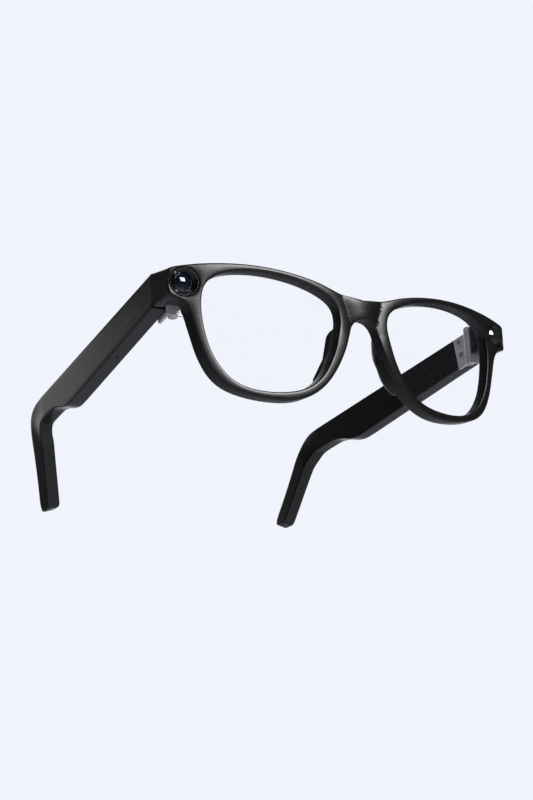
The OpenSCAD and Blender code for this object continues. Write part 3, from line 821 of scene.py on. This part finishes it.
        main = self.plate(
            shell, [*loops, *self.eyes], creases, face, lambda p, d: self.wrap_y(p[:, 0], layer),
            [0.07, 0.22, 0.5, 1.0])
        verts, faces = join_shells([main, *self.endpieces()])
        out = {"front_shell": build("front_shell_look", verts, faces, FRAME_BLACK, self.space, sharp=28)}
        x, z = self.cover_in, self.cover_under
        cut = [[(w * x, z), (w * x, 50)] for w in (-1, 1)] + [[(w * x, z), (w * 80, z)] for w in (-1, 1)]
        verts, faces = self.plate(
            covered, loops, cut, lambda p, d: self.wrap_y(p[:, 0], layer + 0.05) + self.rounded(d, 0.12),
            lambda p, d: self.wrap_y(p[:, 0], self.depth) - self.rounded(d, 0.45), [0.06, 0.2, 0.45])
        out["rear_cover"] = build("rear_cover_look", verts, faces, COVER_BLACK, self.space, sharp=28)
        for name, loop in zip(("lens_left", "lens_right"), self.openings):
            edge = grown(loop, 0.7)
            verts, faces = self.plate(
                lambda p, e=edge: inside(p, e), [edge], [], lambda p, d: self.wrap_y(p[:, 0], 1.1),
                lambda p, d: self.wrap_y(p[:, 0], 2.7), [0.8])
            out[name] = build(name + "_look", verts, faces, LENS_CLEAR, self.space, sharp=40)
        return out


def at_depth(flat: np.ndarray, y: float) -> np.ndarray:
    """Put flat points (x, z) at one depth."""
    return np.c_[flat[:, 0], np.full(len(flat), y), flat[:, 1]]


def rounded_rect(x0: float, x1: float, z0: float, z1: float, r: float, n: int, mids: int = 5) -> np.ndarray:
    """Points of a rectangle with round corners, counter-clockwise from the lower right side.

    Args:
        x0: Low side.
        x1: High side.
        z0: Bottom.
        z1: Top.
        r: Corner radius.
        n: Pieces in each corner.
        mids: Points along each side between the corners.

    Returns:
        The points, one row each.
    """
    out = []
    centres = (x1 - r, z0 + r, -90), (x1 - r, z1 - r, 0), (x0 + r, z1 - r, 90), (x0 + r, z0 + r, 180)
    for cx, cz, start in centres:
        turns = [math.radians(start + 90 * k / n) for k in range(n + 1)]
        arc = [(cx + r * math.cos(turn), cz + r * math.sin(turn)) for turn in turns]
        if out:
            a, b = np.array(out[-1]), np.array(arc[0])
            out.extend(tuple(a + (b - a) * k / (mids + 1)) for k in range(1, mids + 1))
        out.extend(arc)
    a, b = np.array(out[-1]), np.array(out[0])
    out.extend(tuple(a + (b - a) * k / (mids + 1)) for k in range(1, mids + 1))
    return np.array(out)


def shrink(section: np.ndarray, by: float) -> np.ndarray:
    """Draw a section in towards its middle by about the same amount all round."""
    mid = (section.max(axis=0) + section.min(axis=0)) / 2
    half = (section.max(axis=0) - section.min(axis=0)) / 2
    return mid + (section - mid) * (half - by) / half


@dataclass
class Pad:
    """A nose pad that grows from the back of the rim."""

    space: Matrix
    nasal: Points = field(default_factory=lambda: [
        (8.6, 29.6), (8.35, 27.6), (8.2, 23.9), (8.95, 19.5), (12.2, 13.1), (15.6, 9.4), (17.2, 8.6),
        (17.6, 9.6), (15.6, 12.4), (13.4, 17.0), (11.6, 21.4), (10.6, 26), (9.8, 29.4)])
    # Depth, how far the outline draws in, and how far it drifts outwards
    levels: tuple = (
        (3.2, 0.1, 0.0), (5.2, 0.0, 0.0), (6.4, 0.0, 0.0), (7.3, 0.12, 0.05), (8.0, 0.35, 0.1),
        (8.6, 0.7, 0.15), (9.1, 1.2, 0.2), (9.35, 1.6, 0.25), (9.45, 1.95, 0.3))

    def make(self, mirrored: bool) -> bpy.types.Object:
        """Build the pad of one side."""
        loop = resample(spline(self.nasal, 6, closed=True), 10)
        mid = loop.mean(axis=0)
        rings = []
        for y, inset, drift in self.levels:
            t = loop - mid
            span = np.linalg.norm(t, axis=1, keepdims=True)
            ring = mid + t * np.clip(1 - inset / np.maximum(span, 1.0), 0.2, 1.1)
            ring[:, 0] += drift
            rings.append(at_depth(ring, y))
        verts, faces = loft(rings)
        side = "right" if mirrored else "left"
        return build(f"nose_pad_{side}_look", verts, faces, PAD_BLACK, self.space, mirrored, sharp=50)


@dataclass
class Eye:
    """A round eye in the front's corner: a bezel ring and a window."""

    space: Matrix
    x: float
    z: float
    outer: float
    window: float
    dome: float
    wrap: float = 300.0
    face: float = 7.9
    sink: float = 0.0

    def surface(self, x: np.ndarray) -> np.ndarray:
        """Depth of the front's face at a place across it."""
        return self.wrap - np.sqrt(self.wrap**2 - x**2)

    def ring(self, name: str) -> bpy.types.Object:
        """Build the bezel: a thin lip flush with the face, a funnel and a seat."""
        r, w, f = self.outer - 0.05, self.window, self.face
        profile = [
            (r, 0.5, True), (r, 0.2, True), (r - 0.06, 0.12, True), (r - 0.22, 0.12, True),
            (r - 0.4, 0.3, True), (w + 0.35, 0.95, False), (w + 0.1, 1.25, False), (w + 0.06, 2.3, False),
            (r, 2.4, False)]
        n, m = 72, len(profile)
        a = np.arange(n) * 2 * math.pi / n
        verts = []
        for radius, depth, follows in profile:
            x = self.x + radius * np.cos(a)
            y = self.surface(x) + depth if follows else np.full(n, f + depth)
            verts.append(np.c_[x, y, self.z + radius * np.sin(a)])
        faces = []
        for k in range(m):
            this, after = k * n, (k + 1) % m * n
            faces.extend((this + i, this + (i + 1) % n, after + (i + 1) % n, after + i) for i in range(n))
        return build(name, np.vstack(verts), faces, BEZEL_BLACK, self.space, sharp=35)

    def glass(self, name: str, finish: Finish) -> bpy.types.Object:
        """Build the domed window."""
        r, h = self.window, self.dome
        big = (r * r + h * h) / (2 * h)
        base = self.face + 1.1
        profile = []
        for k in range(21):
            p = r * k / 20
            sunk = self.sink if 0.62 < p / r < 0.88 else 0.0
            profile.append((max(p, 0.001), base - (math.sqrt(big**2 - p**2) - big + h) + sunk))
        verts, faces = lathe([*profile, (r, base + 0.8), (0.001, base + 0.8)], 72)
        return build(name, verts + (self.x, 0, self.z), faces, finish, self.space, sharp=40)


# ---- temples -------------------------------------------------------------------
@dataclass
class Temple:
    """One temple: a hollowed shell that slims down and turns into the ear hook."""

    space: Matrix
    inner: float = 2.0
    thick: float = 6.0
    top: float = 6.2
    low: float = -5.9
    flare: float = -8.7
    slim: float = -3.6
    length: float = 76.0
    hook_thick: float = 5.4
    drop: float = 29.4
    lean: float = 15.0
    seam: float = 0.2
    tilt: tuple[float, float] = (10.2, 2.3)
    radius: float = 0.5

    def lower(self) -> np.ndarray:
        """Give the lower edge from the hinge to the elbow."""
        n = self.length
        step = spline([
            (n - 4, self.flare + 0.1), (n + 2, self.flare + 0.2), (n + 7, self.flare + 1.4),
            (n + 12, self.slim - 1.6), (n + 17, self.slim - 0.3), (n + 21, self.slim)], 6)
        slope = (self.flare - self.low) / (n - 1)
        straight = [(u, self.low + 0.1 + slope * (u + 3)) for u in np.linspace(-2, n - 6, 26)]
        return np.vstack([straight, step, [(n + 24.5, self.slim)]])

    def stations(self) -> list[tuple[np.ndarray, np.ndarray, float, float]]:
        """List the sections along the temple.

        Returns:
            For each section its lower and upper point, its thickness and how much of the hook's lean it has.
        """
        out = [(p, np.array((p[0], self.top)), self.thick, 0.0) for p in self.lower()]
        e, s, d, t = self.length + 29, self.slim, self.drop / 28.5, self.top
        tip = s - self.drop
        pairs = [
            ((e - 1, s), (e - 1, t)), ((e + 3.1, s - 0.6), (e + 6, t - 0.6)),
            ((e + 6.6, s - 3.3), (e + 11.6, t - 3.2)), ((e + 9.0, s - 6.5 * d), (e + 15.8, t - 8.4)),
            ((e + 12.4, s - 12.4 * d), (e + 19.9, s - 8 * d)),
            ((e + 16.6, s - 20 * d), (e + 24.1, s - 17 * d)),
            ((e + 20.1, s - 26.2 * d), (e + 27.8, s - 24.2 * d)),
            ((e + 21.0, s - 27.6 * d), (e + 28.3, s - 26.4 * d)),
            ((e + 21.9, tip + 0.35), (e + 28.2, tip + 0.95)), ((e + 22.9, tip - 0.1), (e + 27.4, tip + 0.25))]
        low = spline([p[0] for p in pairs], 5)
        high = spline([p[1] for p in pairs], 5)
        for k, (a, b) in enumerate(zip(low, high)):
            run = k / (len(low) - 1)
            lean = min(1.0, max(0.0, k / 16))
            lean = lean * lean * (3 - 2 * lean)
            thick = self.thick + (self.hook_thick - self.thick) * min(1.0, k / 12)
            thick -= 1.0 * max(0.0, (run - 0.86) / 0.14) ** 3
            out.append((a, b, thick, lean))
        return out

    def shell(self) -> tuple[np.ndarray, list]:
        """Skin the sections into a closed shell that starts on the seam's plane."""
        rings = []
        drop, toe = (math.radians(a) for a in self.tilt)
        mid_x = self.inner + self.thick / 2
        for k, (a, b, thick, lean) in enumerate(self.stations()):
            h = float(np.linalg.norm(b - a))
            r = min(self.radius, thick / 2 - 0.2)
            section = rounded_rect(-thick / 2, thick / 2, -h / 2, h / 2, r, 4, 6)
            x, v = section[:, 0], section[:, 1]
            x = x - np.sign(x) * 0.05 * np.abs(x) / (thick / 2)
            uw = (a + b) / 2 + v[:, None] / h * (b - a)
            u, w = uw[:, 0], uw[:, 1]
            turn = math.radians(self.lean) * lean
            dz = w - (self.top - 4.2)
            px = mid_x + x * math.cos(turn) + dz * math.sin(turn)
            pw = self.top - 4.2 - x * math.sin(turn) + dz * math.cos(turn)
            if k < 5:
                level = (self.seam - px * math.sin(toe)) / math.cos(toe)
                seam = (level - pw * math.sin(drop)) / math.cos(drop)
                u = seam * (1 - k / 5) + u * (k / 5)
            rings.append(np.c_[px, u, pw])
        return loft(rings)

    def cutters(self, right: bool) -> bpy.types.Object:
        """Make the solids cut from the shell: the cover's pocket, microphone hole and control slots."""
        lid = np.array([
            (9, self.top - 0.9), (9, self.low + 0.4), (self.length - 2, self.flare + 1),
            (self.length + 9, self.flare + 3.4), (self.length + 16, self.slim + 0.7),
            (self.length + 16, self.top - 0.9)])
        edge = grown(resample(lid, 4), 0.1)
        shells = [loft([np.c_[np.full(len(edge), x), edge] for x in (self.inner - 1, self.inner + 1.2)])]
        hole, sides = lathe([(0.5, 0), (0.5, 4)], 20)
        hole = np.c_[hole[:, 0] + self.inner + self.thick / 2, hole[:, 2] + 37, hole[:, 1] + self.flare - 0.6]
        shells.append((hole, sides))
        shells.extend(self.slots())
        if right:
            outer, top = self.inner + self.thick, self.top
            shells.append(self.bar(outer - 0.45, outer + 1, 11.95, 48.05, -1.53, -1.17))
            shells.append(self.bar(self.inner + 1.55, self.inner + 4.45, 23.85, 32.15, top - 1.3, top + 2))
        verts, faces = join_shells(shells)
        return build("cutter", verts, faces, FRAME_BLACK, self.space, right)

    @staticmethod
    def bar(x0: float, x1: float, u0: float, u1: float, w0: float, w1: float) -> tuple[np.ndarray, list]:
        """Build a box between two places across, along and up the arm."""
        return loft([np.array([(x0, u, w0), (x1, u, w0), (x1, u, w1), (x0, u, w1)]) for u in (u0, u1)])

    def strip(self) -> bpy.types.Object:
        """Build the thin touch strip on the outer face of the right temple."""
        outer = self.inner + self.thick
        section = rounded_rect(outer - 0.4, outer - 0.01, -1.47, -1.23, 0.04, 2, 0)
        verts, faces = loft([at_depth(section, u) for u in (12.05, 30.0, 47.95)])
        return build("touch_strip_look", verts, faces, STRIP_GREY, self.space, True)

    def slots(self) -> list[tuple[np.ndarray, list]]:
        """Build the cutters of the speaker's slots in the top of the arm."""
        out = []
        for i in range(3):
            u = self.length - 2 + 2.4 * i
            x0, x1, w0, w1 = self.inner + 2.0, self.inner + 4.1, self.top - 2.2, self.top + 1
            out.append(self.bar(x0, x1, u, u + 1, w0, w1))
        return out

    def make(self, right: bool) -> bpy.types.Object:
        """Build one temple's shell.

        Args:
            right: Whether it is the wearer's right temple, which has the touch strip and the button.

        Returns:
            The shell.
        """
        side = "right" if right else "left"
        verts, faces = self.shell()
        obj = build(f"temple_shell_{side}_look", verts, faces, FRAME_BLACK, self.space, right)
        cutter = self.cutters(right)
        mod = obj.modifiers.new("cut", "BOOLEAN")
        mod.operation, mod.solver, mod.object = "DIFFERENCE", "EXACT", cutter
        bpy.context.view_layer.update()
        mesh = bpy.data.meshes.new_from_object(obj.evaluated_get(bpy.context.evaluated_depsgraph_get()))
        obj.modifiers.clear()
        obj.data = mesh
        bpy.data.objects.remove(cutter)
        mesh.shade_smooth()
        mesh.set_sharp_from_angle(angle=math.radians(26))
        return obj


@dataclass
class Studio:
    """Floor, lights, backdrop light and camera."""

    space: Matrix
    place: tuple[float, float, float] = (-276.62, -364.01, -111.62)
    aim: tuple[float, float, float] = (-39.35, 5.0, 0.284)
    roll: float = -1.889
    lens: float = 60.69
    dim: tuple[float, float, float, float] = (0.06, 0.061, 0.066, 1)
    pale: tuple[float, float, float, float] = (0.88, 0.90, 0.97, 1)

    def camera(self) -> None:
        """Set the camera."""
        at, to = self.space @ Vector(self.place), self.space @ Vector(self.aim)
        turn = self.space.to_3x3().normalized()
        forward = (to - at).normalized()
        side = forward.cross(turn @ Vector((0, 0, 1))).normalized()
        up = side.cross(forward)
        a = math.radians(self.roll)
        right = side * math.cos(a) + up * math.sin(a)
        above = right.cross(forward)
        data = bpy.data.cameras.new("camera")
        data.lens, data.sensor_width, data.sensor_fit = self.lens, 36.0, "AUTO"
        data.clip_start, data.clip_end = 0.01, 50.0
        data.dof.use_dof = False
        obj = bpy.data.objects.new("camera", data)
        bpy.context.scene.collection.objects.link(obj)
        obj.matrix_world = Matrix.Translation(at) @ Matrix((right, above, -forward)).transposed().to_4x4()
        bpy.context.scene.camera = obj

    def lamp(self, name: str, place: tuple, aim: tuple, size: tuple, power: float) -> None:
        """Add a soft area lamp.

        Args:
            name: Its name.
            place: Where it is, in metres.
            aim: Where it points.
            size: Its two sides in metres.
            power: Its power in watts.
        """
        data = bpy.data.lights.new(name, "AREA")
        data.shape, data.size, data.size_y = "RECTANGLE", size[0], size[1]
        data.energy = power
        obj = bpy.data.objects.new(name, data)
        bpy.context.scene.collection.objects.link(obj)
        way = (Vector(aim) - Vector(place)).normalized()
        obj.matrix_world = Matrix.Translation(place) @ way.to_track_quat("-Z", "Y").to_matrix().to_4x4()

    def world(self) -> None:
        """Set the surrounding light: pale beyond the glasses and dimmer elsewhere, on a plain pale ground."""
        world = bpy.data.worlds.new("studio")
        bpy.context.scene.world = world
        world.use_nodes = True
        tree = world.node_tree
        tree.nodes.clear()
        out = tree.nodes.new("ShaderNodeOutputWorld")
        back = tree.nodes.new("ShaderNodeBackground")
        coords = tree.nodes.new("ShaderNodeTexCoord")
        dot = tree.nodes.new("ShaderNodeVectorMath")
        dot.operation = "DOT_PRODUCT"
        dot.inputs[1].default_value = tuple(Vector((0.524, 0.779, 0.343)).normalized())
        ramp = tree.nodes.new("ShaderNodeValToRGB")
        ramp.color_ramp.interpolation = "EASE"
        for end, at, colour in zip(ramp.color_ramp.elements, (0.74, 0.93), (self.dim, self.pale)):
            end.position, end.color = at, colour
        back.inputs["Strength"].default_value = 1.0
        tree.links.new(coords.outputs["Generated"], dot.inputs[0])
        tree.links.new(dot.outputs["Value"], ramp.inputs["Fac"])
        tree.links.new(ramp.outputs["Color"], back.inputs["Color"])
        plain = tree.nodes.new("ShaderNodeBackground")
        plain.inputs["Color"].default_value = self.pale
        path = tree.nodes.new("ShaderNodeLightPath")
        seen = tree.nodes.new("ShaderNodeMixShader")
        share = tree.nodes.new("ShaderNodeMath")
        share.operation = "MULTIPLY_ADD"
        share.inputs[1].default_value = 0.25
        tree.links.new(path.outputs["Is Diffuse Ray"], share.inputs[0])
        tree.links.new(path.outputs["Is Camera Ray"], share.inputs[2])
        tree.links.new(share.outputs[0], seen.inputs["Fac"])
        tree.links.new(back.outputs[0], seen.inputs[1])
        tree.links.new(plain.outputs[0], seen.inputs[2])
        tree.links.new(seen.outputs[0], out.inputs["Surface"])

    def floor(self) -> bpy.types.Object:
        """Lay the floor well below the glasses, which hang over it."""
        size, z = 9.0, -0.62
        verts = np.array([(-size, -size, z), (size, -size, z), (size, size, z), (-size, size, z)])
        return build("floor", verts, [(0, 1, 2, 3)], FLOOR_PALE, Matrix.Identity(4))

    def make(self) -> None:
        """Set everything up."""
        bpy.context.scene.view_settings.view_transform = "Standard"
        self.floor()
        self.world()
        self.lamp("front_soft", (0.42, -1.4, 0.66), (0, 0, 0.03), (0.7, 0.55), 21.0)
        self.lamp("left_soft", (-0.36, 1.45, 0.52), (0, 0.03, 0.02), (0.5, 0.45), 0.6)
        self.camera()


def register(obj: bpy.types.Object, body: str, slot: str, *nodes: str) -> None:
    """Attach a finished piece to its body, hide the CAD nodes it stands for and log their names."""
    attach(obj, body)
    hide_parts(*nodes)
    LOG.info("%s rides on %s for %s, %d faces", obj.name, body, ", ".join(nodes), len(obj.data.polygons))


def points_mesh(points: list[tuple[float, float, float]]) -> bpy.types.Mesh:
    """Make a mesh of loose points for a tree to work on."""
    mesh = bpy.data.meshes.new("points")
    mesh.from_pydata(points, [], [])
    return mesh


def dress_carried_nodes(nodes: dict[str, bpy.types.Object], slots: dict[str, str]) -> None:
    """Give every CAD node that stays in the scene its finish."""
    for name, obj in nodes.items():
        obj.data.materials.clear()
        obj.data.materials.append(FINISHES[slots[name]].material())
        if not obj.hide_render:
            LOG.info("%s keeps its CAD mesh, finish %s", name, slots[name])


def main() -> None:
    """Build every piece in order, then the studio."""
    record = frame["record"]
    slots = {s["node"]: s["material_slot"] for s in record["subparts"]}
    spaces = Spaces.from_record(record, Vector(HINGE))
    front = Front(spaces.front)
    for node, obj in front.make().items():
        register(obj, "front", slots[node], node)
    pad = Pad(spaces.front)
    for side in ("right", "left"):
        register(pad.make(side == "right"), "front", "pad_black", f"nose_pad_{side}")
    camera = Eye(spaces.front, *front.eye, window=3.6, dome=1.0, sink=0.35)
    light = Eye(spaces.front, *front.light, window=3.0, dome=0.6)
    register(camera.ring("camera_bezel_look"), "front", "bezel_black", "camera_bezel")
    register(light.ring("light_bezel_look"), "front", "bezel_black", "light_bezel")
    register(camera.glass("camera_window_look", LENS_COAT), "front", "camera_glass", "camera_window")
    register(light.glass("light_window_look", LIGHT_GLASS), "front", "light_glass", "light_window")
    temple = Temple(spaces.temple)
    register(temple.strip(), "temple_right", "strip_grey", "touch_strip")
    screws, weave = screw_tree(), weave_tree()
    turn = Matrix(((0, 0, -1), (0, 1, 0), (1, 0, 0))).to_4x4()
    for side in ("right", "left"):
        right = side == "right"
        register(temple.make(right), f"temple_{side}", "frame_black", f"temple_shell_{side}")
        heads = [(w, LEAF_SCREWS_AT, LEAF_FACE - temple.inner) for w in LEAF_SCREW_HEIGHTS]
        obj = tree_object(
            f"temple_screws_{side}_look", screws, points_mesh(heads), {"Shank length": 3.4},
            spaces.temple @ turn, right)
        register(obj, f"temple_{side}", "screw_steel", f"temple_screws_{side}")
        middle = Matrix.Translation((temple.inner + 3.1, temple.length + 1.0, temple.top - 1.45))
        middle = spaces.temple @ middle @ Matrix.Rotation(math.pi / 2, 4, "Y")
        obj = tree_object(
            f"speaker_mesh_{side}_look", weave, points_mesh([(0, 0, 0)]), {"Height": 3.0}, middle, right)
        register(obj, f"temple_{side}", "mesh_steel", f"speaker_mesh_{side}")
    dress_carried_nodes(frame["nodes"], slots)
    Studio(spaces.front).make()
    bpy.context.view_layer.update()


if __name__ == "__main__":
    main()
